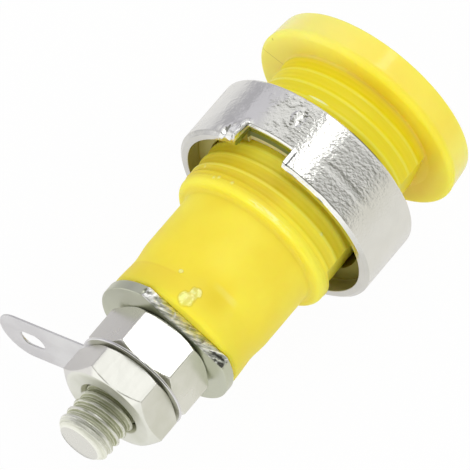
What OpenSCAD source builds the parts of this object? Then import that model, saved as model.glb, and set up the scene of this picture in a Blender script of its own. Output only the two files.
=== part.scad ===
// Panel-mount 4 mm safety socket: a moulded insulator with a turned contact inside, a ring nut
// that clamps it to a panel, and a threaded rear terminal with washer, two nuts and a solder tag.
// The socket's axis lies along Y. The plug enters from -Y and the terminal stud points to +Y.
// The origin is on the axis, in the rear face of the head, where the panel seats.

/* [Head] */
// Diameter of the head at its rear edge
head_d = 15.9; // [15:0.1:20]
// Diameter of the head at its front edge
head_front_d = 15.5; // [14.5:0.1:20]
// Height of the head in front of the panel
head_h = 2.35; // [2:0.05:5]
// Radius of the head's front edge
head_front_round = 0.2; // [0.1:0.05:0.9]
// Radius of the head's rear edge
head_rear_round = 0.1; // [0.05:0.05:0.6]

/* [Threaded shank] */
// Diameter over the thread crests
thread_d = 12; // [11.6:0.1:13.5]
// Thread pitch
thread_pitch = 1; // [0.75:0.25:1.5]
// Depth of the moulded thread
thread_depth = 0.45; // [0.3:0.05:0.6]
// Distance from the panel seat to the end of the thread
thread_run = 10.9; // [10:0.05:16]
// Plain pilot between the panel seat and the first groove
pilot_h = 0.2; // [0.1:0.05:1]
// Depth of the flat that keeps the shank from turning in the panel
flat_depth = 0.6; // [0.3:0.05:0.8]

/* [Barrel] */
// Length of the plain collar behind the thread
collar_h = 0.9; // [0.7:0.05:3]
// Distance of the collar's rim inside the thread crests
collar_inset = 0.05; // [0:0.05:0.2]
// Radius of the collar's rear edge
collar_round = 0.3; // [0.1:0.05:0.4]
// Radius of the inner corner behind the collar
ledge_round = 0.15; // [0.05:0.05:0.3]
// Diameter of the barrel where it starts
barrel_top_d = 10.2; // [9.6:0.1:10.6]
// Length of the barrel
barrel_h = 8.3; // [6:0.05:12]
// Diameter of the barrel's waist
waist_d = 9.9; // [9:0.1:10.6]
// Distance of the waist from the barrel's foot
waist_up = 2.3; // [1.5:0.1:3.5]
// Length of the slope that runs down to the waist
waist_slope_h = 1.1; // [0.5:0.1:2]
// Diameter of the barrel's foot
foot_d = 10.1; // [9.4:0.05:10.8]
// Radius of the foot's edge
foot_round = 0.4; // [0.1:0.05:0.6]
// Thickness of the wall that the contact is pulled against
rear_wall = 1.5; // [1:0.1:2.5]

/* [Plug well] */
// Width of the ring-shaped well for the plug's sheath
well_gap = 1.3; // [1:0.05:1.5]
// Depth of the well from the head's front face
well_depth = 13.4; // [8:0.1:14]
// Wall of the sleeve round the contact
sleeve_wall = 0.5; // [0.4:0.05:0.7]
// Distance of the sleeve's end behind the head's front face
sleeve_recess = 0.3; // [0:0.05:1]
// Bevel at the mouths of the well and the sleeve
mouth_bevel = 0.2; // [0.1:0.05:0.3]

/* [Contact] */
// Diameter of the bore that takes the plug's pin
plug_d = 4; // [3.8:0.05:4.3]
// Wall of the contact tube
contact_wall = 0.65; // [0.5:0.05:0.8]
// Distance of the contact's mouth behind the head's front face
contact_recess = 1.85; // [1:0.05:4]
// Solid metal between the bore's end and the shoulder
contact_base = 2.1; // [1.8:0.1:4]
// Diameter of the terminal stud
stud_d = 4; // [3.5:0.1:4.4]
// Length of the stud that stands past the terminal nut
stud_past_nut = 3.15; // [2:0.05:8]
// Bevel at the stud's end
stud_bevel = 0.5; // [0.2:0.05:0.8]

/* [Ring nut] */
// Distance of the ring nut's rim inside the head's rim
ring_inset = 0.15; // [0:0.05:0.5]
// Height of the ring nut
ring_h = 5.05; // [3.5:0.05:7]
// Space between the head and the ring nut as it stands
panel_gap = 4.05; // [3:0.05:5]
// Bevel at the front mouth of the ring nut's bore
ring_bevel = 0.5; // [0.3:0.05:1]
// Width of the step at the rear mouth of the ring nut's bore
step_w = 1; // [0.5:0.05:1.1]
// Depth of the step at the rear mouth
step_depth = 1.2; // [0.5:0.1:2]
// Radius of the ring nut's outer edges
ring_round = 0.25; // [0.1:0.05:0.4]
// Width of the two spanner notches
notch_w = 3.7; // [2:0.1:4.5]
// Depth of the spanner notches
notch_depth = 1.4; // [0.8:0.1:2.5]
// Angle of the first notch about the axis
notch_turn = 69; // [0:1:180]

/* [Flatted washer] */
// Diameter of the washer
washer_d = 10.3; // [9.5:0.1:11]
// Thickness of the washer
washer_t = 0.8; // [0.5:0.05:1.5]
// Distance of the washer's flat from the axis
washer_flat = 3.9; // [3.6:0.05:4.7]
// Angle of the washer's flat about the axis
washer_turn = 102; // [0:0.5:180]

/* [Nuts] */
// Width of both nuts across their flats
nut_af = 7; // [6.5:0.1:8]
// Height of the clamp nut
clamp_nut_h = 3.3; // [2.4:0.1:4]
// Height of the terminal nut
terminal_nut_h = 2.45; // [1.8:0.05:4]
// Slope of the bevels at the nuts' corners
nut_slope = 30; // [15:1:40]
// Bevel at both mouths of the nuts' bores
nut_bevel = 0.35; // [0.1:0.05:0.5]
// Angle of the clamp nut about the axis
clamp_nut_turn = 2; // [0:0.5:60]
// Angle of the terminal nut about the axis
terminal_nut_turn = 55.5; // [0:0.5:60]

/* [Solder tag] */
// Diameter of the tag's eye
tag_eye_d = 8; // [7:0.1:9]
// Width of the tag's tail
tag_w = 4.1; // [3:0.1:6]
// Distance from the axis to the tag's tip
tag_reach = 12.15; // [9:0.05:16]
// Thickness of the tag
tag_t = 0.2; // [0.15:0.05:0.8]
// Width of the slot for the wire
slot_w = 1.35; // [1:0.05:2]
// Length of the slot for the wire
slot_l = 2.1; // [1.8:0.1:3]
// Distance from the slot's outer end to the tag's tip
slot_inset = 1.85; // [1.5:0.05:3]
// Angle of the tag about the axis
tag_turn = -37; // [-180:0.5:180]

/* [Fits] */
// Gap on all sides between the ring nut's bore and the thread crests
thread_fit = 0.05; // [0.02:0.01:0.1]
// Gap on all sides between a nut's bore and the stud
nut_fit = 0.05; // [0.02:0.01:0.1]
// Gap on all sides between the contact and its sleeve
contact_fit = 0.05; // [0.02:0.01:0.1]
// Gap on all sides between the stud and the holes it passes through
hole_fit = 0.15; // [0.05:0.01:0.3]

/* [Hidden] */
$fn = 96;

// Steps in each rounded edge
round_steps = 6;
// Shares of a pitch taken by a crest and by a groove's floor
crest_share = 0.35;
floor_share = 0.15;
// Half the point angle of the drill that made the plug bore
drill_half_angle = 59;
// Extra length of cutting solids past the faces that they cut
cut_over = 1;

// Radii from the axis outwards
stud_r = stud_d / 2;
plug_r = plug_d / 2;
contact_r = plug_r + contact_wall;
sleeve_bore_r = contact_r + contact_fit;
sleeve_r = sleeve_bore_r + sleeve_wall;
well_r = sleeve_r + well_gap;
stud_hole_r = stud_r + hole_fit;
nut_bore_r = stud_r + nut_fit;
thread_r = thread_d / 2;
root_r = thread_r - thread_depth;
collar_r = thread_r - collar_inset;
ring_bore_r = thread_r + thread_fit;
ring_r = head_d / 2 - ring_inset;

// The ring nut's bevel, step and rounded edges leave lands between them
ring_wall = ring_r - ring_bore_r;
ring_mouth = min(ring_bevel, 0.6 * ring_wall);
ring_step = min(step_w, 0.6 * ring_wall);
ring_edge = min(ring_round, 0.2 * ring_wall);

// Stations along the axis, with the panel seat at zero and the front positive
collar_end = -(thread_run + collar_h);
barrel_end = collar_end - barrel_h;
seat = barrel_end + rear_wall;
washer_end = barrel_end - washer_t;
clamp_nut_end = washer_end - clamp_nut_h;
tag_end = clamp_nut_end - tag_t;
terminal_nut_end = tag_end - terminal_nut_h;
stud_end = terminal_nut_end - stud_past_nut;
ring_front = -panel_gap;
ring_end = ring_front - ring_h;
sleeve_front = head_h - sleeve_recess;
contact_front = head_h - contact_recess;
well_end = head_h - well_depth;
plug_bore_end = seat + contact_base;

// Points of a rounded edge about centre c, from angle a0 to angle a1
function edge_arc(c, r, a0, a1) = [
    for (i = [0 : round_steps])
        let (a = a0 + (a1 - a0) * i / round_steps)
        c + r * [cos(a), sin(a)]
];

// Outline of the thread: one groove to each pitch, read from the head backwards
groove_w = (1 - crest_share) * thread_pitch;
groove_count = 1 + floor((thread_run - pilot_h - groove_w) / thread_pitch);
floor_w = floor_share * thread_pitch;
flank_w = (groove_w - floor_w) / 2;
thread_outline = [
    for (i = [0 : groove_count - 1])
        let (z = -pilot_h - i * thread_pitch)
        each [
            [thread_r, z],
            [root_r, z - flank_w],
            [root_r, z - flank_w - floor_w],
            [thread_r, z - groove_w]
        ]
];

// Half outline of a nut's bevelled form
function nut_outline(h) =
    let (corner_r = nut_af / 2 / cos(30), flat_r = nut_af / 2)
    let (drop = (corner_r - flat_r) * tan(nut_slope))
    [[0, 0], [flat_r, 0], [corner_r, drop], [corner_r, h - drop], [flat_r, h], [0, h]];

// Half outline of a nut's bore with a bevel at each mouth
function nut_bore_outline(h) = [
    [0, -cut_over],
    [nut_bore_r + nut_bevel + cut_over, -cut_over],
    [nut_bore_r, nut_bevel],
    [nut_bore_r, h - nut_bevel],
    [nut_bore_r + nut_bevel + cut_over, h + cut_over],
    [0, h + cut_over]
];

// Turns the socket's axis from the drawing's Z to the object's -Y
module laid() {
    rotate([90, 0, 0])
        children();
}

// Hexagon nut standing on the plane z = 0
module hex_nut(h) {
    difference() {
        intersection() {
            cylinder(r = nut_af / 2 / cos(30), h = h, $fn = 6);
            rotate_extrude()
                polygon(nut_outline(h));
        }
        rotate_extrude()
            polygon(nut_bore_outline(h));
    }
}

module insulator_body() {
    outline = concat(
        [[well_r + mouth_bevel, head_h]],
        edge_arc([head_front_d / 2 - head_front_round, head_h - head_front_round], head_front_round, 90, 0),
        edge_arc([head_d / 2 - head_rear_round, head_rear_round], head_rear_round, 0, -90),
        [[thread_r, 0]],
        thread_outline,
        [[thread_r, -thread_run], [collar_r, -thread_run]],
        edge_arc([collar_r - collar_round, collar_end + collar_round], collar_round, 0, -90),
        edge_arc([barrel_top_d / 2 + ledge_round, collar_end - ledge_round], ledge_round, 90, 180),
        [
            [barrel_top_d / 2, barrel_end + waist_up + waist_slope_h],
            [waist_d / 2, barrel_end + waist_up]
        ],
        edge_arc([foot_d / 2 - foot_round, barrel_end + foot_round], foot_round, 0, -90),
        [
            [stud_hole_r, barrel_end],
            [stud_hole_r, seat],
            [sleeve_bore_r, seat],
            [sleeve_bore_r, sleeve_front - mouth_bevel],
            [sleeve_bore_r + mouth_bevel, sleeve_front],
            [sleeve_r, sleeve_front],
            [sleeve_r, well_end],
            [well_r, well_end],
            [well_r, head_h - mouth_bevel]
        ]
    );
    color("gold")
        laid()
            difference() {
                rotate_extrude()
                    polygon(outline);
                translate([-thread_r - cut_over, -thread_r, -thread_run])
                    cube([flat_depth + cut_over, thread_d, thread_run]);
            }
}

module socket_contact() {
    drill_tip = plug_bore_end - plug_r / tan(drill_half_angle);
    color("silver")
        laid()
            rotate_extrude()
                polygon([
                    [plug_r + mouth_bevel, contact_front],
                    [contact_r, contact_front],
                    [contact_r, seat],
                    [stud_r, seat],
                    [stud_r, stud_end + stud_bevel],
                    [stud_r - stud_bevel, stud_end],
                    [0, stud_end],
                    [0, drill_tip],
                    [plug_r, plug_bore_end],
                    [plug_r, contact_front - mouth_bevel]
                ]);
}

module ring_nut() {
    outline = concat(
        edge_arc([ring_r - ring_edge, ring_end + ring_edge], ring_edge, -90, 0),
        edge_arc([ring_r - ring_edge, ring_front - ring_edge], ring_edge, 0, 90),
        [
            [ring_bore_r + ring_mouth, ring_front],
            [ring_bore_r, ring_front - ring_mouth],
            [ring_bore_r, ring_end + step_depth],
            [ring_bore_r + ring_step, ring_end + step_depth],
            [ring_bore_r + ring_step, ring_end]
        ]
    );
    color("gainsboro")
        laid()
            difference() {
                rotate_extrude()
                    polygon(outline);
                for (turn = [0, 180])
                    rotate([0, 0, notch_turn + turn])
                        translate([0, -notch_w / 2, ring_end - cut_over])
                            cube([ring_r + cut_over, notch_w, notch_depth + cut_over]);
            }
}

module flatted_washer() {
    color("lightgray")
        laid()
            rotate([0, 0, washer_turn])
                translate([0, 0, washer_end])
                    difference() {
                        cylinder(d = washer_d, h = washer_t);
                        translate([0, 0, -cut_over])
                            cylinder(r = stud_hole_r, h = washer_t + 2 * cut_over);
                        translate([washer_flat, -washer_d / 2, -cut_over])
                            cube([washer_d, washer_d, washer_t + 2 * cut_over]);
                    }
}

module clamp_nut() {
    color("gainsboro")
        laid()
            translate([0, 0, clamp_nut_end])
                rotate([0, 0, clamp_nut_turn])
                    hex_nut(clamp_nut_h);
}

module solder_tag() {
    tip_at = tag_reach - tag_w / 2;
    slot_out = tag_reach - slot_inset - slot_w / 2;
    slot_in = slot_out - (slot_l - slot_w);
    color("lightgray")
        laid()
            rotate([0, 0, tag_turn])
                translate([0, 0, tag_end])
                    difference() {
                        union() {
                            cylinder(d = tag_eye_d, h = tag_t);
                            translate([0, -tag_w / 2, 0])
                                cube([tip_at, tag_w, tag_t]);
                            translate([tip_at, 0, 0])
                                cylinder(d = tag_w, h = tag_t);
                        }
                        translate([0, 0, -cut_over])
                            cylinder(r = stud_hole_r, h = tag_t + 2 * cut_over);
                        for (x = [slot_in, slot_out])
                            translate([x, 0, -cut_over])
                                cylinder(d = slot_w, h = tag_t + 2 * cut_over);
                        translate([slot_in, -slot_w / 2, -cut_over])
                            cube([slot_out - slot_in, slot_w, tag_t + 2 * cut_over]);
                    }
}

module terminal_nut() {
    color("gainsboro")
        laid()
            translate([0, 0, terminal_nut_end])
                rotate([0, 0, terminal_nut_turn])
                    hex_nut(terminal_nut_h);
}

insulator_body();
socket_contact();
ring_nut();
flatted_washer();
clamp_nut();
solder_tag();
terminal_nut();
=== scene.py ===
import math

import bmesh
import bpy
from mathutils import Matrix, Vector, noise


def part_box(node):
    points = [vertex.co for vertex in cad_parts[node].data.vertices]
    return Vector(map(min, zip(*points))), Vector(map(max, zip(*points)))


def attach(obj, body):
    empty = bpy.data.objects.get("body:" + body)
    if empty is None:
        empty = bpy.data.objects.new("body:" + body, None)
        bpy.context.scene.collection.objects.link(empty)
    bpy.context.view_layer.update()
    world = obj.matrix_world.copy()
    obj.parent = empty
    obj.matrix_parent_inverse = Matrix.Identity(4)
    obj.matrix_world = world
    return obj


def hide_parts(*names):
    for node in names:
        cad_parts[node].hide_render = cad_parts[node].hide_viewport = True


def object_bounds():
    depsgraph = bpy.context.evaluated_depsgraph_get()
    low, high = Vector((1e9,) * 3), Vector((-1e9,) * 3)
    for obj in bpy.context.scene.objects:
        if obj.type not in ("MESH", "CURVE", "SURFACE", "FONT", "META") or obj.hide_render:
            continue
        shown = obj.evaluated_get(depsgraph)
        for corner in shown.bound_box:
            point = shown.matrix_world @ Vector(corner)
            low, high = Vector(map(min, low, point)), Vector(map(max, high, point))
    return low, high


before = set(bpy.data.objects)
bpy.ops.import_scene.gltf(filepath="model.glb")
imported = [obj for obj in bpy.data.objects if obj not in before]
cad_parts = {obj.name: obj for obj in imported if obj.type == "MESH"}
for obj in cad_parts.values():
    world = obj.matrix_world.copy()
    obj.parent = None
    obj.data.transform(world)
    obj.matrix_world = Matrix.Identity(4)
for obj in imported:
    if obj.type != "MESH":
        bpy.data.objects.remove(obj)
cad_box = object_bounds()

# Insulator body
# One moulding of glossy yellow plastic: the head that seats on the panel, the threaded shank with its flat,
# the collar and the barrel. The well for the plug's sheath and the sleeve round the contact are inside it.
# All other pieces sit on it or in it, and the mould's gate left small pale marks near the barrel's foot.
mm = 0.001
body_low, body_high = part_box("insulator_body")
head_r = (body_high[0] - body_low[0]) / 2 / mm
head_front = body_low[1] / mm
barrel_end = body_high[1] / mm
head_front_r = head_r - 0.2
head_front_round = 0.2
head_rear_round = 0.35
thread_r = 6.0
thread_pitch = 1.0
thread_lead = 0.278
thread_depth = 0.085
thread_crest = 0.06
thread_root = 0.30
thread_fillet = 0.12
before_ring = 4.0
behind_ring = 8.6
flat_side = 180.0
flat_from_axis = 5.4
flat_edges = (8.5, 27.5)
collar_start = 10.9
collar_end = 11.8
collar_r = 5.95
collar_round = 0.45
ledge_round = 0.30
barrel_r = 5.1
waist_r = 4.95
slope_start = barrel_end - 3.4
waist_at = barrel_end - 2.3
foot_r = 5.05
foot_round = 0.4
stud_hole_r = 2.15
seat = barrel_end - 1.5
sleeve_bore_r = 2.7
sleeve_r = 3.2
sleeve_front = head_front + 0.3
sleeve_bevel = 0.15
sleeve_edge = 0.12
well_r = 4.5
well_end = head_front + 13.4
well_round = 0.2
gate_turns = (66, 96)
gate_lumps = ((19.38, 87.4, 0.40, 0.34, 0.09), (18.64, 89.9, 0.30, 0.27, 0.08),
              (18.74, 89.0, 0.14, 0.13, -0.12), (18.00, 70.0, 0.13, 0.18, 0.06))
gate_gloss = {0: 0.80, 1: 0.60, 3: 0.27}
dent = (17.7, 108.0, 0.7, 1.6, -0.09)
shine_station = 17.4
shine_turn = 108.0
foot_shades = ((18.05, 105.0, 1.5), (18.4, 92.0, 2.8))
foot_crease_at = 18.3
pimples = ((10.45, 28.8), (11.13, 49.9), (11.25, 46.1), (11.13, 61.2), (9.88, 128.5))
pimple_reach = 0.20
glint_station = 2.9
glint_turn = 70.0
glint_long = 0.95
glint_wide = 0.11
head_speck = (7.75, 0.0, 16.2)
collar_highlight_turn = 95.0


def smooth(low, high, value):
    """Eases from 0 at low to 1 at high."""
    share = min(max((value - low) / (high - low), 0.0), 1.0)
    return share * share * (3 - 2 * share)


def soft_min(first, second, blend):
    """The lower of two values, with the edge where they meet rounded over the blend."""
    share = max(blend - abs(first - second), 0.0) / blend
    return min(first, second) - share * share * blend / 4


def apart(turn, other):
    """Signed angle in degrees from one turn to another, the short way round."""
    return (turn - other + 180) % 360 - 180


def spaced(first, last, step):
    """Stations from first to last, both included, at about the given step."""
    count = max(int(round(abs(last - first) / step)), 1)
    return [first + (last - first) * i / count for i in range(count + 1)]


def edge_arc(radius, station, bend, start, end, steps=7):
    """Rows of a rounded edge about a centre, from one angle to another; 0 points outwards, 90 to the rear."""
    angles = [math.radians(a) for a in spaced(start, end, abs(end - start) / steps)]
    return [(radius + bend * math.cos(a), station + bend * math.sin(a)) for a in angles]


def turns_with(step, fine):
    """Turns round the axis at a coarse step, with finer steps in the listed stretches."""
    turns = [round(step * i, 3) for i in range(int(360 / step))]
    for first, last, fine_step in fine:
        turns = [t for t in turns if apart(t, first) * apart(t, last) > 0 or abs(apart(t, first)) > 90]
        turns += [round(t % 360, 3) for t in spaced(first, last, fine_step)]
    return sorted(set(turns))


def thread_cut(station, turn, pitch, lead, crest, root):
    """Depth share of a right-hand thread: 0 on a crest and 1 in a groove."""
    phase = (station / pitch + turn / 360 - lead) % 1
    return 1 - smooth(root, 1 - crest, abs(2 * phase - 1))


def turned(name, rows, turns, form, loop=True):
    """Mesh made as on a lathe: rows of radius and station in mm are swept round the axis, and form may
    change the radius, station and turn of each point."""
    points = []
    for radius, station in rows:
        for turn in turns:
            r, y, t = form(radius, station, turn)
            t = math.radians(t)
            points.append((r * math.cos(t) * mm, y * mm, r * math.sin(t) * mm))
    wide = len(turns)
    deep = len(rows)
    faces = []
    for i in range(deep if loop else deep - 1):
        this, after = i * wide, (i + 1) % deep * wide
        for j in range(wide):
            k = (j + 1) % wide
            faces.append((this + j, this + k, after + k, after + j))
    mesh = bpy.data.meshes.new(name)
    mesh.from_pydata(points, [], faces)
    return settled(name, mesh)


def settled(name, mesh):
    """Object of a mesh whose doubled points are merged, with faces turned outwards and edges shaded."""
    work = bmesh.new()
    work.from_mesh(mesh)
    bmesh.ops.remove_doubles(work, verts=work.verts, dist=0.0005 * mm)
    bmesh.ops.dissolve_degenerate(work, edges=work.edges, dist=0.0002 * mm)
    bmesh.ops.recalc_face_normals(work, faces=work.faces)
    work.to_mesh(mesh)
    work.free()
    mesh.shade_smooth()
    mesh.set_sharp_from_angle(angle=math.radians(38))
    piece = bpy.data.objects.new(name, mesh)
    bpy.context.collection.objects.link(piece)
    return piece


def on_axis(radius, station, turn):
    """Place in mm of a point given by its radius, station and turn."""
    return radius * math.cos(math.radians(turn)), station, radius * math.sin(math.radians(turn))


def body_form(radius, station, turn):
    """Cuts the thread and the flat into the shank, and lifts the gate marks and the dent on the barrel."""
    if 0 <= station < collar_start and flat_from_axis - 0.3 < radius < thread_r + 0.1:
        runs = smooth(0.0, 0.4, station) * (1 - smooth(collar_start - 0.35, collar_start, station))
        cut = thread_cut(station, turn, thread_pitch, thread_lead, thread_crest, thread_root)
        radius -= thread_depth * runs * cut
        off = apart(turn, flat_side)
        if abs(off) < 60 and station > 0.02:
            radius = soft_min(radius, flat_from_axis / math.cos(math.radians(off)), 0.02)
    if station > collar_end and radius > well_r:
        for at, around, along, across, height in (*gate_lumps, dent):
            far = ((station - at) / along) ** 2
            far += (math.radians(apart(turn, around)) * foot_r / across) ** 2
            if far < 4:
                radius += height * math.exp(-far * far)
        angle = math.radians(turn)
        sway = Vector((math.cos(angle) * 1.3, station * 0.35, math.sin(angle) * 1.3))
        radius += 0.015 * noise.noise(sway)
    return radius, station, turn


body_rows = [(well_r + 0.25, head_front)]
front_bend_r = head_front_r - head_front_round
body_rows += edge_arc(front_bend_r, head_front + head_front_round, head_front_round, -90, 0)
for share in spaced(0.2, 0.8, 0.15):
    body_rows.append((head_front_r + (head_r - head_front_r) * share, head_front * (1 - share)))
body_rows += edge_arc(head_r - head_rear_round, -head_rear_round, head_rear_round, 0, 90)
body_rows += [(r, 0.0) for r in spaced(head_r - head_rear_round - 0.2, thread_r + 0.16, 0.3)]
body_rows += edge_arc(thread_r + thread_fillet, thread_fillet, thread_fillet, 270, 180, 3)
body_rows += [(thread_r, y) for y in spaced(0.2, collar_start - 0.03, thread_pitch / 16)]
body_rows += [(thread_r - 0.01, collar_start), (collar_r, collar_start + 0.1), (collar_r, collar_start + 0.3)]
body_rows += edge_arc(collar_r - collar_round, collar_end - collar_round, collar_round, 0, 90)
body_rows += edge_arc(barrel_r + ledge_round, collar_end + ledge_round, ledge_round, 270, 180)
for y in spaced(collar_end + 0.4, barrel_end - foot_round - 0.08, 0.12):
    top = smooth(slope_start - 0.5, waist_at + 0.1, y)
    foot = smooth(waist_at - 0.1, barrel_end - 0.5, y)
    body_rows.append((barrel_r + (waist_r - barrel_r) * top + (foot_r - waist_r) * foot, y))
body_rows += edge_arc(foot_r - foot_round, barrel_end - foot_round, foot_round, 0, 90)
body_rows += [(stud_hole_r, barrel_end)]
body_rows += [(stud_hole_r, seat), (sleeve_bore_r, seat), (sleeve_bore_r, sleeve_front + 0.2)]
body_rows += edge_arc(sleeve_bore_r + sleeve_bevel, sleeve_front + sleeve_bevel, sleeve_bevel, 180, 270, 4)
body_rows += edge_arc(sleeve_r - sleeve_edge, sleeve_front + sleeve_edge, sleeve_edge, 270, 360, 4)
body_rows += edge_arc(sleeve_r + well_round, well_end - well_round, well_round, 180, 90, 4)
body_rows += edge_arc(well_r - well_round, well_end - well_round, well_round, 90, 0, 4)
body_rows += edge_arc(well_r + well_round, head_front + well_round, well_round, 180, 270, 5)[:-1]
body_fine = ((flat_side - flat_edges[1], flat_side - flat_edges[0], 0.5),
             (flat_side + flat_edges[0], flat_side + flat_edges[1], 0.5), (*gate_turns, 0.5))
body_turns = turns_with(2.0, body_fine)
body = turned("insulator", body_rows, body_turns, body_form)


class Wire:
    """A shader socket that takes part in Python arithmetic; each operation adds its Math node."""

    def __init__(self, tree, socket):
        self.tree = tree
        self.socket = socket

    def node(self, kind, settings=None, links=None, output=0):
        """Adds a node of any kind, applies its settings, feeds its sockets and returns one output."""
        made = self.tree.nodes.new(kind)
        for key, value in (settings or {}).items():
            setattr(made, key, value)
        for key, value in (links or {}).items():
            if isinstance(value, Wire):
                self.tree.links.new(value.socket, made.inputs[key])
            else:
                made.inputs[key].default_value = value
        return Wire(self.tree, made.outputs[output])

    def maths(self, operation, first, second=0.0):
        return self.node("ShaderNodeMath", {"operation": operation}, {0: first, 1: second})

    def __add__(self, other):
        return self.maths("ADD", self, other)

    def __radd__(self, other):
        return self.maths("ADD", other, self)

    def __sub__(self, other):
        return self.maths("SUBTRACT", self, other)

    def __rsub__(self, other):
        return self.maths("SUBTRACT", other, self)

    def __mul__(self, other):
        return self.maths("MULTIPLY", self, other)

    def __truediv__(self, other):
        return self.maths("DIVIDE", self, other)

    def __abs__(self):
        return self.maths("ABSOLUTE", self)

    def ease(self, low, high):
        """Goes smoothly from 0 at low to 1 at high."""
        return self.node("ShaderNodeMapRange", {"interpolation_type": "SMOOTHSTEP"},
                         {"Value": self, "From Min": low, "From Max": high})

    def noise(self, scale, detail=3.0, rough=0.5):
        """Noise over the points that this wire carries."""
        return self.node("ShaderNodeTexNoise", None,
                         {"Vector": self, "Scale": scale, "Detail": detail, "Roughness": rough})

    def stretched(self, x, y, z):
        """The points with each axis multiplied."""
        return self.node("ShaderNodeVectorMath", {"operation": "MULTIPLY"}, {0: self, 1: (x, y, z)})

    def near(self, place, reach):
        """1 at a place in mm and 0 beyond the reach in mm."""
        far = self.node("ShaderNodeVectorMath", {"operation": "DISTANCE"},
                        {0: self, 1: [c * mm for c in place]}, output="Value")
        return 1 - far.ease(0.0, reach * mm)

    def blend(self, first, second):
        """Mixes two colours by this wire's value."""
        return self.node("ShaderNodeMix", {"data_type": "RGBA"},
                         {"Factor": self, "A": (*first, 1.0) if isinstance(first, tuple) else first,
                          "B": (*second, 1.0) if isinstance(second, tuple) else second}, output="Result")

    def bump(self, height):
        """A normal with this wire as height, in mm at full strength."""
        return self.node("ShaderNodeBump", None,
                         {"Height": self, "Distance": height * mm, "Strength": 1.0})


class Finish:
    """A material with one shader; its points are places on the object in metres."""

    def __init__(self, name, **fixed):
        self.material = bpy.data.materials.new(name)
        self.material.use_nodes = True
        self.tree = self.material.node_tree
        self.shader = self.tree.nodes["Principled BSDF"]
        for key, value in fixed.items():
            self.shader.inputs[key.replace("_", " ")].default_value = value
        self.points = Wire(self.tree, self.tree.nodes.new("ShaderNodeTexCoord").outputs["Object"])
        self.x, self.y, self.z = self.split(self.points)

    def split(self, wire):
        parts = self.tree.nodes.new("ShaderNodeSeparateXYZ")
        self.tree.links.new(wire.socket, parts.inputs[0])
        return [Wire(self.tree, out) for out in parts.outputs]

    def around(self):
        """Points unrolled from the axis: turn in radians, station in mm and radius in mm."""
        radius = self.points.maths("SQRT", self.x * self.x + self.z * self.z)
        turn = self.points.maths("ARCTAN2", self.z, self.x)
        return turn, self.y / mm, radius / mm

    def joined(self, x, y, z):
        return self.points.node("ShaderNodeCombineXYZ", None, {0: x, 1: y, 2: z})

    def set(self, **varied):
        for key, wire in varied.items():
            self.tree.links.new(wire.socket, self.shader.inputs[key.replace("_", " ")])

    def dress(self, piece):
        piece.data.materials.clear()
        piece.data.materials.append(self.material)


yellow = Finish("yellow_plastic", Subsurface_Weight=0.75, Subsurface_Radius=(1.0, 0.75, 0.08),
                Subsurface_Scale=2.0 * mm, IOR=1.5, Coat_IOR=1.6, Coat_Roughness=0.16)
turn, station, radius = yellow.around()
flank_end = -head_rear_round - 0.1
on_flank = station.ease(flank_end, flank_end - 0.2) * radius.ease(head_r - 0.5, head_r - 0.3)
on_collar = station.ease(collar_start + 0.1, collar_start + 0.3) * station.ease(collar_end + 0.2, collar_end)
on_shank = radius.ease(thread_r + 0.2, thread_r + 0.1)
streaks = yellow.joined(turn * 1.6, station * 1.6, radius).noise(4.5, 4.0, 0.6)
# Painted highlight: the thread's crests are painted pale, and they are glossier too.
crest_highlights = radius.ease(thread_r - 0.02, thread_r - 0.004) * station.ease(0.4, 0.7)
crest_highlights = crest_highlights * station.ease(collar_start, collar_start - 0.2)
front_thread = station.ease(0.1, 0.3) * station.ease(before_ring, before_ring - 0.6) * on_shank
rear_thread = station.ease(behind_ring, behind_ring + 0.6) * station.ease(collar_end - 0.2, collar_end - 0.6)
rear_thread = rear_thread * on_shank
# Painted light and shade on the thread behind the ring: darker and more golden towards +X, paler towards -X.
rear_thread_light_and_shade = yellow.x.ease(0.8 * mm, -1.4 * mm).blend((0.775, 0.605, 0.012), (1.0, 0.77, 0.03))
clouds = yellow.points.noise(240.0, 4.0)
fine_grain = yellow.points.noise(2600.0, 2.0)
flecks = 0.0
for pimple in pimples:
    flecks = flecks + yellow.points.near(on_axis(thread_r, *pimple), pimple_reach)
glint_along = (turn - math.radians(glint_turn)) * (thread_r / glint_long)
glint_aside = (station - glint_station) / glint_wide
glint = (glint_along * glint_along + glint_aside * glint_aside).ease(1.0, 0.3)
# Painted highlight: a pale broken streak round the collar's rounded edge, on its top.
collar_highlight = station.ease(collar_end - 0.46, collar_end - 0.32)
collar_highlight = collar_highlight * station.ease(collar_end - 0.02, collar_end - 0.16)
collar_highlight = collar_highlight * abs(turn - math.radians(collar_highlight_turn)).ease(0.38, 0.2)
collar_highlight = collar_highlight * streaks.ease(0.40, 0.58)
# Painted shade in the fillet between the collar and the barrel.
ledge_shade = station.ease(collar_end - 0.12, collar_end) * station.ease(collar_end + 0.45, collar_end + 0.25)
parting = abs(yellow.z).ease(0.06 * mm, 0.02 * mm) * yellow.x.ease(5.9 * mm, 6.1 * mm)
parting = parting * station.ease(0.4, 0.1) * station.ease(head_front + 0.3, head_front + 0.5)
speck = yellow.points.near(on_axis(*head_speck), 0.17)
# Painted light on the head: paler towards +X, and lighter at its rim towards -X.
head_side_light = station.ease(0.3, 0.1) * yellow.x.ease(-1 * mm, 6 * mm)
head_low_light = station.ease(0.12, 0.05) * yellow.x.ease(-6.0 * mm, -7.0 * mm)
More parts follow.
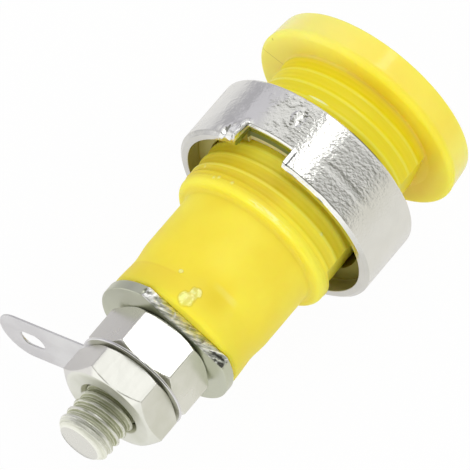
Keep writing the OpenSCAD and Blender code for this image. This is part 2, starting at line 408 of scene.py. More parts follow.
# Painted shade at the barrel's foot on the +X side: a dark line along a crease and a darker band from it to
# the foot.
foot_left = yellow.x.ease(0.2 * mm, 2.4 * mm)
crease_line = abs(station - foot_crease_at).ease(0.16, 0.02)
below_crease = station.ease(foot_crease_at - 0.1, foot_crease_at + 0.2)
foot_crease_shade = foot_left * (crease_line * 0.35 + below_crease * 0.4)
foot_shine = abs(station - shine_station).ease(0.34, 0.08)
foot_shine = foot_shine * abs(turn - math.radians(shine_turn)).ease(0.26, 0.08)
foot_shade = 0.0
for at, around, reach in foot_shades:
    foot_shade = foot_shade + yellow.points.near(on_axis(foot_r, at, around), reach) * 0.5
lumps = 0.0
for lump, reach in gate_gloss.items():
    lumps = lumps + yellow.points.near(on_axis(foot_r, *gate_lumps[lump][:2]), reach)
ragged = lumps + yellow.points.noise(1900.0, 3.0) * 0.9 - 0.45
gloss = ragged.ease(0.26, 0.46)
outline = ragged.ease(0.06, 0.26) * (1 - gloss) * lumps.ease(0.02, 0.2)
mottled = yellow.points.noise(2600.0, 3.0).ease(0.40, 0.60).blend((0.74, 0.69, 0.19), (0.98, 0.95, 0.42))
yellow_tone = clouds.ease(0.3, 0.75).blend((0.88, 0.715, 0.034), (0.93, 0.79, 0.055))
yellow_tone = (front_thread * 0.9).blend(yellow_tone, (0.95, 0.775, 0.004))
yellow_tone = (rear_thread * 0.9).blend(yellow_tone, rear_thread_light_and_shade)
yellow_tone = (head_low_light * 0.6 + on_collar * 0.4).blend(yellow_tone, (1.0, 0.86, 0.08))
yellow_tone = (head_side_light * 0.5).blend(yellow_tone, (1.0, 0.92, 0.28))
yellow_tone = (ledge_shade * 0.2).blend(yellow_tone, (0.78, 0.62, 0.04))
yellow_tone = (foot_shine * 0.3).blend(yellow_tone, (1.0, 0.95, 0.36))
yellow_tone = foot_crease_shade.blend(yellow_tone, (0.80, 0.58, 0.03))
yellow_tone = foot_shade.blend(yellow_tone, (0.82, 0.655, 0.012))
yellow_tone = (crest_highlights * 0.45).blend(yellow_tone, (1.0, 0.88, 0.14))
# The flecks, the thread's painted glint and the collar's painted highlight are painted pale here.
yellow_tone = (flecks * 0.6 + glint * 0.9 + collar_highlight * 0.5).blend(yellow_tone, (1.0, 0.98, 0.52))
yellow_tone = (parting * 0.5 + speck * 0.8).blend(yellow_tone, (0.42, 0.34, 0.05))
specks = yellow.points.noise(1300.0, 1.0).ease(0.81, 0.84)
yellow_tone = (specks * 0.25).blend(yellow_tone, (0.55, 0.38, 0.02))
yellow_tone = (outline * 0.5).blend(yellow_tone, (0.60, 0.50, 0.03))
yellow_tone = (gloss * 0.85).blend(yellow_tone, mottled)
relief = clouds * 0.5 + fine_grain * 0.06 + streaks * on_collar * 1.6 + flecks * 1.4
yellow.set(Base_Color=yellow_tone, Roughness=0.42 + clouds * 0.12 - gloss * 0.2 - crest_highlights * 0.15,
           Coat_Weight=on_flank * 0.8, Normal=relief.bump(0.05))
yellow.dress(body)
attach(body, "socket")
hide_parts("insulator_body")

# Socket contact
# Turned from one brass rod and nickel plated: the tube that grips the plug's pin, a shoulder that seats on
# the insulator's rear wall, and the M4 stud. It goes in from the front, and the clamp nut pulls it tight.
contact_low, contact_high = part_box("socket_contact")
contact_front = contact_low[1] / mm
stud_end = contact_high[1] / mm
contact_r = 2.65
contact_edge = 0.15
plug_r = 2.0
plug_mouth = 0.2
plug_bore_end = seat - 2.1
drill_slope = 59.0
drill_tip = plug_bore_end + plug_r / math.tan(math.radians(drill_slope))
stud_r = 2.0
stud_pitch = 0.7
stud_lead = 0.911
stud_thread_depth = 0.20
stud_crest_at = 0.88
stud_flank = 0.62
stud_bevel = 0.5
stud_thread_start = seat + 0.8
# Places on each turn of the stud's thread for painted lines: bright painted highlights, which are also raised
# as tool marks, and dark painted shade.
tool_and_highlight_marks = ((0.16, 0.06, 0.02), (0.40, 0.07, 0.03), (0.68, 0.07, 0.03))
shade_marks = ((0.28, 0.08, 0.03), (0.54, 0.09, 0.04), (0.82, 0.08, 0.04))


def stud_cut(station, turn):
    """Depth share of the stud's thread, with narrow crests and straight flanks."""
    phase = (station / stud_pitch + turn / 360 - stud_lead) % 1
    return min(max((stud_crest_at - abs(2 * phase - 1)) / stud_flank, 0.0), 1.0)


def contact_form(radius, station, turn):
    """Cuts the stud's thread, which starts gently and is half as deep at the free end."""
    if station > stud_thread_start and radius > stud_r - stud_bevel - 0.01:
        runs = smooth(stud_thread_start, stud_thread_start + 0.7, station)
        runs *= 1 - 0.5 * smooth(stud_end - 1.2, stud_end - 0.6, station)
        groove = stud_r - stud_thread_depth * stud_cut(station, turn) * runs
        radius = min(radius, groove) if station < stud_end - 0.005 else radius
    return radius, station, turn


contact_rows = [(0.0, drill_tip), (plug_r, plug_bore_end), (plug_r, contact_front + 0.25)]
contact_rows += edge_arc(plug_r + plug_mouth, contact_front + plug_mouth, plug_mouth, 180, 270, 4)
contact_rows += edge_arc(contact_r - contact_edge, contact_front + contact_edge, contact_edge, 270, 360, 4)
contact_rows += [(contact_r, seat - 0.05), (contact_r - 0.05, seat), (stud_r, seat)]
contact_rows += [(stud_r, y) for y in spaced(seat + 0.1, stud_end - stud_bevel - 0.03, stud_pitch / 24)]
contact_rows += [(stud_r - stud_bevel * s, stud_end - stud_bevel * (1 - s)) for s in spaced(0.05, 0.92, 0.09)]
contact_rows += [(r, stud_end) for r in (stud_r - stud_bevel - 0.03, 1.0, 0.5, 0.0)]
contact = turned("contact", contact_rows, turns_with(2.5, ()), contact_form, loop=False)
nickel = Finish("contact_plate", Metallic=1.0)
turn, station, radius = nickel.around()
plating = nickel.points.noise(900.0, 4.0)
drawn_lines = nickel.joined(0.0, station + turn * (stud_pitch / math.tau), turn * 0.25).noise(6.5, 2.0, 0.6)
bright = plating.ease(0.3, 0.7).blend((0.80, 0.795, 0.73), (0.87, 0.865, 0.815))
on_thread = station.ease(seat, seat + 0.2) * station.ease(stud_end - 0.02, stud_end - 0.3)
in_groove = radius.ease(stud_r - 0.03, stud_r - 0.17) * on_thread
# Painted shadow on the stud where it goes into the terminal nut.
nut_shadow = on_thread * station.ease(stud_end - 2.35, stud_end - 2.85)
# Painted highlight on the bevel at the stud's free end.
bevel_highlight = station.ease(stud_end - 0.62, stud_end - 0.52) * station.ease(stud_end, stud_end - 0.04)
thread_phase = nickel.points.maths("FRACT", station / stud_pitch + turn / math.tau + (10 - stud_lead))
tool_and_highlight_lines = 0.0
for phase, outer, core in tool_and_highlight_marks:
    tool_and_highlight_lines = tool_and_highlight_lines + abs(thread_phase - phase).ease(outer, core)
shade_lines = 0.0
for phase, outer, core in shade_marks:
    shade_lines = shade_lines + abs(thread_phase - phase).ease(outer, core)
# Painted light: the thread is lighter towards the free end.
near_end = station.ease(stud_end - 1.5, stud_end - 0.7)
on_end = station.ease(stud_end - 0.03, stud_end - 0.01)
# Painted shade and highlights on the thread: olive grooves here, then the dark shade lines and the bright
# highlight lines.
bright = (in_groove * 0.8).blend(bright, (0.86, 0.88, 0.66))
bright = (on_thread * drawn_lines.ease(0.48, 0.56) * 0.75).blend(bright, (0.44, 0.46, 0.30))
bright = (on_thread * shade_lines * 0.6).blend(bright, (0.40, 0.42, 0.25))
bright = (on_thread * tool_and_highlight_lines * 0.7).blend(bright, (0.96, 0.96, 0.88))
bright = (bevel_highlight * 0.6).blend(bright, (0.97, 0.97, 0.90))
bright = (on_thread * near_end * 0.45).blend(bright, (0.97, 0.97, 0.91))
bright = on_end.blend(bright, (0.735, 0.725, 0.69))
nickel.set(Base_Color=(nut_shadow * 0.25).blend(bright, (0.40, 0.41, 0.30)),
           Roughness=0.22 + plating * 0.12 + on_thread * 0.12 + in_groove * 0.26,
           Normal=((drawn_lines + tool_and_highlight_lines * 0.6) * on_thread + plating * 0.15).bump(0.05))
nickel.dress(contact)
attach(contact, "socket")
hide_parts("socket_contact")

# Flatted washer
# Stamped from sheet brass and nickel plated, with one side sheared off flat. The shear left slanting tears
# on the flat and rolled the washer's front edge. It lies between the barrel and the clamp nut.
washer_low, washer_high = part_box("flatted_washer")
washer_front = washer_low[1] / mm
washer_rear = washer_high[1] / mm
washer_r = 5.15
washer_flat = 3.9
washer_flat_turn = 102.0
washer_fine = (50, 153)
washer_hole_r = 2.15
washer_roll = 0.12
washer_edge = 0.06
washer_face = (2.6, 4.6)
tear_slant = 0.42
gouge_station = washer_rear - 0.22


def washer_form(radius, station, turn):
    """Cuts the rim back to the flat, and roughens the flat with tears and chips."""
    if radius > 3.0:
        share = (radius - washer_hole_r) / (washer_r - washer_hole_r)
        off = apart(turn, washer_flat_turn)
        edge = washer_r
        if abs(off) < 75:
            edge = soft_min(washer_r, washer_flat / math.cos(math.radians(off)), 0.08)
        radius = washer_hole_r + (edge - washer_hole_r) * share
        if abs(off) < 45 and share > 0.9:
            across = washer_flat * math.tan(math.radians(off))
            depth = (station - washer_front) / (washer_rear - washer_front)
            tear = noise.noise(Vector((across * 0.7, (depth + 0.5 * across) * 3.4, 4.0)))
            ends = smooth(1.9, 2.9, abs(across))
            chip = noise.noise(Vector((across * 3.1, depth * 2.6, 9.0)))
            radius += (0.03 * tear + (0.03 + 0.12 * ends) * min(chip, 0.0)) * smooth(0.9, 1.0, share)
    return radius, station, turn


washer_rows = edge_arc(washer_hole_r + washer_edge, washer_front + washer_edge, washer_edge, 180, 270, 3)
washer_rows += [(r, washer_front) for r in spaced(*washer_face, 0.5)]
washer_rows += edge_arc(washer_r - washer_roll, washer_front + washer_roll, washer_roll, 270, 360, 5)
washer_rows += [(washer_r, y) for y in spaced(washer_front + 0.18, washer_rear - 0.12, 0.05)]
washer_rows += edge_arc(washer_r - washer_edge, washer_rear - washer_edge, washer_edge, 0, 90, 3)
washer_rows += [(r, washer_rear) for r in spaced(*reversed(washer_face), 0.5)]
washer_rows += edge_arc(washer_hole_r + washer_edge, washer_rear - washer_edge, washer_edge, 90, 180, 3)
washer = turned("washer", washer_rows, turns_with(2.0, ((*washer_fine, 0.5),)), washer_form)
sheared = Finish("washer_plate", Metallic=1.0)
flat_out = Vector((math.cos(math.radians(washer_flat_turn)), 0.0, math.sin(math.radians(washer_flat_turn))))
outward = sheared.x * flat_out.x + sheared.z * flat_out.z
on_flat = outward.ease((washer_flat - 0.2) * mm, (washer_flat - 0.12) * mm)
across = sheared.x * flat_out.z - sheared.z * flat_out.x
slanted = sheared.y - across * tear_slant
tears = sheared.joined(across * 0.35, slanted * 2.2, 0.0).noise(2400.0, 4.0, 0.6)
gouges = sheared.joined(across, slanted * 1.6, 3.0).noise(1100.0, 3.0, 0.6)
toward_ends = abs(across).ease(1.7 * mm, 2.8 * mm)
skin = sheared.points.noise(700.0, 4.0)
sheared_tone = tears.ease(0.41, 0.59).blend((0.50, 0.52, 0.46), (0.95, 0.95, 0.93))
rear_tear = abs(sheared.y / mm - across * 90 - gouge_station).ease(0.24, 0.10)
rear_tear = rear_tear * across.ease(-1.1 * mm, -1.6 * mm)
sheared_tone = (gouges.ease(0.54, 0.46) * rear_tear).blend(sheared_tone, (0.12, 0.12, 0.11))
sheared_tone = (gouges.ease(0.46, 0.38) * toward_ends).blend(sheared_tone, (0.10, 0.10, 0.09))
sheared_tone = across.ease(2.5 * mm, 3.0 * mm).blend(sheared_tone, (0.96, 0.96, 0.95))
sheared.set(Base_Color=on_flat.blend((0.62, 0.64, 0.52), sheared_tone),
            Roughness=0.24 + skin * 0.14 + on_flat * 0.10,
            Normal=(tears * on_flat * 0.4 + gouges * toward_ends * on_flat + skin * 0.2).bump(0.05))
sheared.dress(washer)
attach(washer, "socket")
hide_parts("flatted_washer")

# Clamp nut
# Full-height M4 hexagon nut, pressed and tapped brass with nickel plate, bevelled at both ends. It pulls
# the contact against the insulator's rear wall and carries the solder tag on its outer face.
nut_af = 7.0
nut_face_r = 3.43
nut_slope = 33.0
nut_bore_fit = 0.03
nut_mouth_r = 2.3
nut_face_rows = (2.7, 3.05)
nut_end = 0.5


def hexagon(turn, facet_turn):
    """Radius of the nut's six flats, with slightly rounded corners."""
    off = (turn - facet_turn + 30) % 60 - 30
    flat = nut_af / 2 / math.cos(math.radians(off))
    return soft_min(flat, nut_af / 2 / math.cos(math.radians(30)) - 0.01, 0.02)


def hexagon_nut(name, node, facet_turn):
    """A hexagon nut in the place of its solid, tapped to match the stud."""
    low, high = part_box(node)
    front, rear = low[1] / mm, high[1] / mm

    def nut_form(radius, station, turn):
        """Cuts the flats and their bevels outside, and the thread and its two mouths inside."""
        near_end = min(station - front, rear - station)
        if radius > nut_face_r - 0.01:
            bevel = nut_face_r + near_end / math.tan(math.radians(nut_slope))
            radius = nut_face_r - 0.04
            if near_end > 0.001:
                radius = soft_min(hexagon(turn, facet_turn), bevel, 0.012)
        elif radius < stud_r + nut_bore_fit + 0.01:
            thread = stud_r + nut_bore_fit - stud_thread_depth / 2 * stud_cut(station, turn)
            radius = max(thread, nut_mouth_r - near_end)
        return radius, station, turn

    tall = rear - front
    flank = spaced(0.0, nut_end, 0.03) + spaced(nut_end + 0.1, tall - nut_end - 0.1, 0.2)
    flank += spaced(tall - nut_end, tall, 0.03)
    bore_r = stud_r + nut_bore_fit
    rows = [(r, front) for r in (nut_mouth_r, *nut_face_rows)]
    rows += [(nut_face_r, front + d) for d in flank]
    rows += [(r, rear) for r in (*reversed(nut_face_rows), nut_mouth_r)]
    inset = (nut_mouth_r - bore_r) * 0.3
    rows += [(bore_r, y) for y in spaced(rear - inset, front + inset, 0.06)]
    corners = [(facet_turn + 30 + 60 * i) for i in range(6)]
    turns = turns_with(2.0, [(c - 9, c + 9, 0.6) for c in corners])
    return turned(name, rows, turns, nut_form)


def plate_nut(name, dullness, facet_turn):
    """Nickel plate on a pressed nut: fine pits, drawn lines on its flats and duller patches."""
    plate = Finish(name, Metallic=1.0)
    pits = plate.points.noise(1300.0, 5.0, 0.6)
    drawn = plate.points.stretched(1.0, 0.12, 1.0).noise(2600.0, 3.0)
    patches = plate.points.noise(420.0, 3.0)
    turn, station, radius = plate.around()
    tone = patches.ease(0.3, 0.7).blend((0.74, 0.745, 0.67), (0.84, 0.84, 0.79))
    on_side = radius.ease(nut_face_r - 0.05, nut_face_r + 0.05)
    # Painted shade: the side facets towards +X darker.
    tone = (plate.x.ease(0.8 * mm, 1.6 * mm) * on_side).blend(tone, (0.78, 0.765, 0.75))
    # Painted highlight: the top facet, which faces the overhead panel, near white.
    tone = (abs(turn - math.radians(facet_turn)).ease(0.55, 0.45) * on_side).blend(tone, (0.96, 0.96, 0.91))
    # Painted shade: darker olive in the mouths and the bore.
    plate.set(Base_Color=radius.ease(nut_mouth_r + 0.01, nut_mouth_r - 0.08).blend(tone, (0.62, 0.62, 0.48)),
              Roughness=dullness + patches * 0.14 + pits * 0.06 + radius.ease(3.3, 3.1) * 0.2,
              Normal=(pits * 0.5 + drawn * 0.5).bump(0.014))
    return plate


clamp_turn = 92.0
clamp_nut = hexagon_nut("clamp_hexagon", "clamp_nut", clamp_turn)
plate_nut("nut_plate_clamp", 0.16, clamp_turn).dress(clamp_nut)
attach(clamp_nut, "socket")
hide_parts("clamp_nut")

# Solder tag
# Blanked from thin sheet brass and tinned: a round eye on the stud, a tail with a round end and a slot for
# the wire. It is clamped between the two nuts and lies flat.
tag_low, tag_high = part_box("solder_tag")
tag_front = tag_low[1] / mm
tag_rear = tag_high[1] / mm
tag_turn = -37.0
tag_eye_r = 4.0
tag_half = 2.05
tag_reach = 12.15
tag_hole_r = 2.15
slot_half = 0.675
slot_length = 2.1
slot_outer = tag_reach - 1.85
tag_edge = 0.085


def loop_points(arcs):
    """Closed outline from arcs given as centre, radius, first angle, last angle and steps."""
    points = []
    for (x, y), r, first, last, steps in arcs:
        for a in spaced(first, last, abs(last - first) / steps):
            points.append((x + r * math.cos(math.radians(a)), y + r * math.sin(math.radians(a))))
    return points


root_angle = math.degrees(math.asin(tag_half / tag_eye_r))
tag_loops = [
    loop_points((((0, 0), tag_eye_r, root_angle, 360 - root_angle, 64),
                 ((tag_reach - tag_half, 0), tag_half, -90, 90, 28))),
    loop_points((((0, 0), tag_hole_r, 0, 354, 59),)),
    loop_points((((slot_outer - slot_half, 0), slot_half, -90, 90, 16),
                 ((slot_outer - slot_length + slot_half, 0), slot_half, 90, 270, 16))),
]
tag_curve = bpy.data.curves.new("tag_blank", "CURVE")
tag_curve.dimensions = "2D"
tag_curve.fill_mode = "BOTH"
tag_curve.extrude = ((tag_rear - tag_front) / 2 - tag_edge) * mm
tag_curve.bevel_depth = tag_edge * mm
tag_curve.bevel_resolution = 2
tag_curve.offset = -tag_edge * mm
for points in tag_loops:
    spline = tag_curve.splines.new("POLY")
    spline.points.add(len(points) - 1)
    spline.use_cyclic_u = True
    for point, (x, y) in zip(spline.points, points):
        point.co = (x * mm, y * mm, 0.0, 1.0)
blank = bpy.data.objects.new("tag_blank", tag_curve)
bpy.context.collection.objects.link(blank)
bpy.context.view_layer.update()
tag_mesh = bpy.data.meshes.new_from_object(blank.evaluated_get(bpy.context.evaluated_depsgraph_get()))
bpy.data.objects.remove(blank)
lay = Matrix.Translation((0.0, (tag_front + tag_rear) / 2 * mm, 0.0))
lay @= Matrix.Rotation(math.radians(90), 4, "X") @ Matrix.Rotation(math.radians(tag_turn), 4, "Z")
tag_mesh.transform(lay)
tag_mesh.name = "tag"
tag = settled("tag", tag_mesh)
tinned = Finish("tag_tin", Metallic=1.0)
tail = Vector((math.cos(math.radians(tag_turn)), 0.0, math.sin(math.radians(tag_turn))))
along = tinned.x * tail.x + tinned.z * tail.z
aside = tinned.z * tail.x - tinned.x * tail.z
rolled = tinned.joined(along * 0.1, aside, tinned.y).noise(3600.0, 3.0)
stains = tinned.points.noise(420.0, 4.0)
from_axis = tinned.points.maths("SQRT", tinned.x * tinned.x + tinned.z * tinned.z)
eye_rim = from_axis.ease((tag_eye_r - 0.10) * mm, (tag_eye_r - 0.04) * mm) * along.ease(3.6 * mm, 3.2 * mm)
# Painted shade: the eye darker olive inside its rim, where it lies against the nuts.
tag_nut_shade = from_axis.ease((tag_eye_r - 0.06) * mm, (tag_eye_r - 0.14) * mm) * along.ease(2.8 * mm, 2.0 * mm)
tin_tone = stains.ease(0.3, 0.75).blend((0.74, 0.73, 0.75), (0.82, 0.815, 0.83))
tinned.set(Base_Color=tag_nut_shade.blend(tin_tone, (0.50, 0.50, 0.42)),
           Roughness=0.40 + stains * 0.14 - eye_rim * 0.30, Normal=(rolled * 0.6 + stains * 0.8).bump(0.010))
tinned.dress(tag)
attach(tag, "socket")
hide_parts("solder_tag")

# Terminal nut
# Thin M4 hexagon nut of the same make as the clamp nut. It runs on the free end of the stud and clamps the
# tag, or a wire's eye, against the clamp nut.
terminal_turn = 85.5
terminal_nut = hexagon_nut("terminal_hexagon", "terminal_nut", terminal_turn)
plate_nut("nut_plate_terminal", 0.27, terminal_turn).dress(terminal_nut)
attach(terminal_nut, "terminal_nut")
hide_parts("terminal_nut")

# Ring nut
# Cast and tapped ring with two spanner notches in its rear rim, plated over a rippled skin. It runs on the
# insulator's thread and clamps the panel against the head; one notch has a torn burr at its corner.
ring_low, ring_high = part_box("ring_nut")
ring_r = (ring_high[0] - ring_low[0]) / 2 / mm
ring_front = ring_low[1] / mm
ring_rear = ring_high[1] / mm
ring_round = 0.25
edge_round = 0.10
edge_slope = 52.0
edge_drop = 0.257
edge_rise = 0.25
ring_step_r = 7.05
ring_step_at = ring_rear - 1.2
ring_step_round = 0.08
ring_step_rows = (6.7, 6.4)
ring_face_r = 7.0
ring_bevel = 0.5
ring_fit = 0.06
notch_turns = (69.0, 249.0)
notch_reach = 60
notch_half = 1.85
notch_floor = ring_rear - 1.4
notch_edge = 0.05
notch_mouth = 0.15
floor_bevel = 0.6
wall_lip = 0.045
lip_reach = 0.28
ding_station = 5.6
ding_turn = 75.0
lane_station = 7.05
lane_turns = (94.0, 102.0)
calm_turns = (88.0, 72.0)
pitted_turns = (118.0, 135.0)
lit_turn = 80.0
front_shadow_turn = 109.0


def ring_edge(share):
    """Drop and rise along the ring's worn edge: a narrow bevel below a small rounding."""
    if share < 0.25:
        bend = math.radians(edge_slope * share * 4)
        return edge_round * (1 - math.cos(bend)), edge_round * math.sin(bend)
    along = (share - 0.25) / 0.75
    drop, rise = ring_edge(0.2499)
    return drop + (edge_drop - drop) * along, rise + (edge_rise - rise) * along


def ring_form(radius, station, turn):
    """Cuts the thread and its mouths, sinks the notches to their floors and tears up the burr."""
    place = min(notch_turns, key=lambda n: abs(apart(turn, n)))
    torn_here = place == notch_turns[0] and radius > ring_r - edge_drop - 0.05
    off = apart(turn, place)
    aside = ring_r * math.sin(math.radians(off))
    outside = radius > ring_r - edge_drop - 0.01
    bore = radius < thread_r + 0.06
    if bore:
        cut = thread_cut(station, turn, thread_pitch, thread_lead, thread_crest, thread_root)
        thread = thread_r + ring_fit - (thread_depth - 0.05) * cut
        mouth = thread_r + ring_bevel - (station - ring_front)
        radius = max(thread, mouth, thread_r + 0.1 - (ring_step_at - station))
    if abs(off) < notch_reach:
        square = 1 - smooth(20, 45, abs(off))
        parallel = math.degrees(math.asin(max(min(aside / radius, 1.0), -1.0)))
        turn = place + off + (parallel - off) * square
    floor_start = notch_floor - (notch_mouth if bore else edge_rise * floor_bevel)
    lip = 0.0
    if outside and abs(off) < notch_reach:
        beside = max(abs(aside) - notch_half - notch_edge, 0.0)
        lip = wall_lip * max(1 - beside / lip_reach, 0.0)
        lip *= smooth(notch_floor - 0.15, notch_floor + 0.1, station)
    open_share = 1 - smooth(notch_half - notch_edge, notch_half + notch_edge, abs(aside))
    if abs(off) < notch_reach and open_share > 0 and station > floor_start:
        top = ring_step_at if bore else ring_rear - edge_rise - 0.03
        share = min((station - floor_start) / (top - floor_start), 1.0)
        floor_r = radius
        floor_y = notch_floor
        if outside:
            drop, rise = ring_edge(share)
            floor_r = ring_r - drop * floor_bevel
            floor_y = notch_floor - (edge_rise - rise) * floor_bevel
        if bore:
            floor_r = thread_r + ring_fit + notch_mouth * (1 - math.cos(math.radians(90 * share)))
            floor_y = floor_start + notch_mouth * math.sin(math.radians(90 * share))
        radius += (floor_r - radius) * open_share + lip * (1 - open_share)
        station += (floor_y - station) * open_share
    elif outside and station > floor_start:
        radius += lip
        sway = noise.noise(Vector((turn * 0.16, 5.0, 0.0)))
        station += 0.04 * sway * smooth(ring_rear - 0.5, ring_rear - 0.1, station)
    if torn_here:
        edge = aside + notch_half
        fold = noise.noise(Vector((aside * 1.5, station * 1.4, 2.0)))
        ragged = noise.noise(Vector((aside * 2.6, station * 2.4, 6.0)))
        flake = math.exp(-((edge + 0.17) / 0.19) ** 2) * smooth(notch_floor - 0.5, notch_floor, station)
        torn = smooth(-1.9, -0.9, edge) * (1 - smooth(-0.5, -0.25, edge))
        torn *= smooth(notch_floor, ring_rear - 0.4, station)
        radius += flake * (0.26 + 0.2 * ragged) + torn * (0.14 + 0.44 * fold + 0.2 * ragged)
        station += torn * (0.06 + 0.22 * noise.noise(Vector((aside * 1.4, station * 0.8, 7.0))))
    return radius, station, turn


ring_rows = edge_arc(ring_r - ring_round, ring_front + ring_round, ring_round, -90, 0)
ring_rows += [(ring_r, y) for y in spaced(ring_front + 0.5, notch_floor - 0.3, 0.2)]
ring_rows += [(ring_r, y) for y in spaced(notch_floor - 0.2, ring_rear - 0.3, 0.05)]
ring_edge_rows = [ring_edge(share) for share in spaced(0.0, 1.0, 0.0625)]
ring_rows += [(ring_r - drop, ring_rear - edge_rise - 0.03 + rise) for drop, rise in ring_edge_rows]
ring_rows += [(ring_r - edge_drop - 0.03, ring_rear)]
ring_rows += edge_arc(ring_step_r + ring_step_round, ring_rear - ring_step_round, ring_step_round, 90, 180, 3)
ring_rows += [(ring_step_r, y) for y in spaced(ring_rear - 0.2, ring_step_at + 0.12, 0.2)]
ring_rows += [(ring_step_r - 0.06, ring_step_at + 0.01)]
ring_rows += [(r, ring_step_at) for r in ring_step_rows]
ring_rows += [(thread_r + 0.05, y) for y in spaced(ring_step_at - 0.01, ring_front + 0.01, thread_pitch / 16)]
ring_rows += [(thread_r + ring_bevel + 0.06, ring_front), (ring_face_r, ring_front)]
wall_degrees = math.degrees(math.asin(notch_half / ring_r))
ring_fine = []
for place in notch_turns:
    ring_fine += [(place - wall_degrees - 2.3, place - wall_degrees + 0.5, 0.2),
                  (place + wall_degrees - 0.5, place + wall_degrees + 2.3, 0.2)]
ring_fine.append((notch_turns[0] - wall_degrees - 13.0, notch_turns[0] - wall_degrees - 2.5, 0.4))
ring = turned("ring", ring_rows, turns_with(2.0, ring_fine), ring_form)
rippled = Finish("ring_plate", Metallic=1.0)
turn, station, radius = rippled.around()
unrolled = rippled.joined(turn * ring_r, station, radius)
ripples = rippled.joined(turn * (ring_r * 0.8) + station * 0.15, station, radius * 0.5).noise(4.8, 3.0, 0.6)
lane = abs(station - lane_station).ease(0.40, 0.12) * turn.ease(*[math.radians(t) for t in lane_turns])
calm = turn.ease(*[math.radians(t) for t in calm_turns]) * unrolled.noise(1.1, 2.0).ease(0.34, 0.58)
ripples = ripples * (1 - lane * 0.6) * (1 - calm * 0.75)
pits = unrolled.noise(9.0, 3.0)
cloud = unrolled.noise(0.7, 3.0)
outer = radius.ease(ring_r - 0.25, ring_r - 0.1)
inner = radius.ease(ring_step_r + 0.06, ring_step_r - 0.03)
plated = cloud.ease(0.3, 0.7).blend((0.825, 0.82, 0.80), (0.855, 0.85, 0.83))
ding_at = turn * ring_r - math.radians(ding_turn) * ring_r
ding_far = ding_at * ding_at * 4.0 + (station - ding_station) * (station - ding_station) * 1.6
ding = (ding_far + unrolled.noise(3.0, 2.0) * 1.4).ease(1.9, 0.7)
notch_way = math.radians(notch_turns[0] + 90)
across = abs(rippled.x * math.cos(notch_way) + rippled.z * math.sin(notch_way)) / mm
in_notch = across.ease(notch_half + 0.10, notch_half + 0.05)
in_notch = in_notch * station.ease(notch_floor - 0.06, notch_floor - 0.02)
on_wall = across.ease(notch_half + 0.06, notch_half + 0.02)
on_wall = on_wall * station.ease(notch_floor + 0.05, notch_floor + 0.15)
below_edge = radius.ease(ring_r - 0.15, ring_r - 0.20)
in_notch = in_notch * rippled.points.maths("MAXIMUM", below_edge, on_wall)
# Painted highlight: a pale line along the inner edge of each notch floor.
mouth_highlight = in_notch * radius.ease(thread_r + 0.62, thread_r + 0.54)
lit_rim = abs(turn - math.radians(lit_turn)).ease(1.0, 0.6)
# Painted highlight: the rear rim painted white on its lit stretch.
rim_highlight = radius.ease(ring_r - 0.03, ring_r - 0.08) * radius.ease(ring_r - edge_drop - 0.06, ring_r - edge_drop)
rim_highlight = rim_highlight * lit_rim
# Painted shade: the rear rim greyer away from that highlight.
rear_rim_shade = station.ease(ring_rear - 0.26, ring_rear - 0.20) * (1 - lit_rim)
# Painted shade in the step and the bore: dark olive, darker towards -X.
bore_shade = rippled.x.ease(-4 * mm, 4 * mm).blend((0.27, 0.245, 0.05), (0.50, 0.46, 0.17))
burr = radius.ease(ring_r + 0.05, ring_r + 0.10)
# Painted shadow: a dark line along part of the front edge.
front_shadow = station.ease(ring_front + 0.22, ring_front + 0.10)
front_shadow = front_shadow * abs(turn - math.radians(front_shadow_turn)).ease(0.26, 0.12)
# Painted shade: a dark line on the outer face beside each notch, at the foot of its lip.
wall_shade_line = abs(across - notch_half - 0.34).ease(0.08, 0.03)
wall_shade_line = wall_shade_line * station.ease(notch_floor - 0.1, notch_floor + 0.1)
plated = (rear_rim_shade * 0.5).blend(plated, (0.62, 0.62, 0.60))
plated = inner.blend(plated, bore_shade)
# Painted shade: the notch floors and walls dark olive.
plated = in_notch.blend(plated, (0.27, 0.31, 0.22))
plated = (wall_shade_line * outer * 0.9).blend(plated, (0.05, 0.05, 0.05))
plated = (rim_highlight + burr).blend(plated, (0.97, 0.97, 0.97))
plated = mouth_highlight.blend(plated, (0.90, 0.86, 0.84))
plated = (front_shadow * 0.85).blend(plated, (0.05, 0.05, 0.04))
dull = inner * 0.35 + rim_highlight * 0.15 + burr * 0.35 + in_notch * 0.15
pitting = 0.12 + turn.ease(*[math.radians(t) for t in pitted_turns]) * 0.12
relief = ripples * outer * (1 - ding * 0.7) + pits * pitting - ding * ding_at * 6.0
rippled.set(Base_Color=plated, Roughness=0.09 + cloud * 0.03 + pits * 0.03 + dull, Normal=relief.bump(0.038))
rippled.dress(ring)
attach(ring, "ring_nut")
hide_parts("ring_nut")

# Studio
# A plain white floor under the socket in a pale tent, with one narrow panel overhead in a paler strip and a
# soft fill from the rear. The tent is darker overhead toward the rear and round the camera, which looks down
# on the terminal end from the rear.
floor_drop = 1.2
floor_size = 1.2
floor_mesh = bpy.data.meshes.new("floor")
floor_z = cad_box[0][2] - floor_drop * mm
floor_corners = [(x * floor_size, y * floor_size, floor_z) for x, y in ((-1, -1), (1, -1), (1, 1), (-1, 1))]
floor_mesh.from_pydata(floor_corners, [], [(0, 1, 2, 3)])
floor = bpy.data.objects.new("floor", floor_mesh)
bpy.context.collection.objects.link(floor)
paper = Finish("floor_paper", Roughness=0.9, Base_Color=(0.86, 0.86, 0.86, 1.0))
path = paper.tree.nodes.new("ShaderNodeLightPath")
to_camera = Wire(paper.tree, path.outputs["Is Camera Ray"])
in_mirror = paper.points.maths("MAXIMUM", Wire(paper.tree, path.outputs["Is Glossy Ray"]),
                               Wire(paper.tree, path.outputs["Is Transmission Ray"]))
seen = paper.points.maths("MAXIMUM", to_camera * 0.96, in_mirror * 0.7)
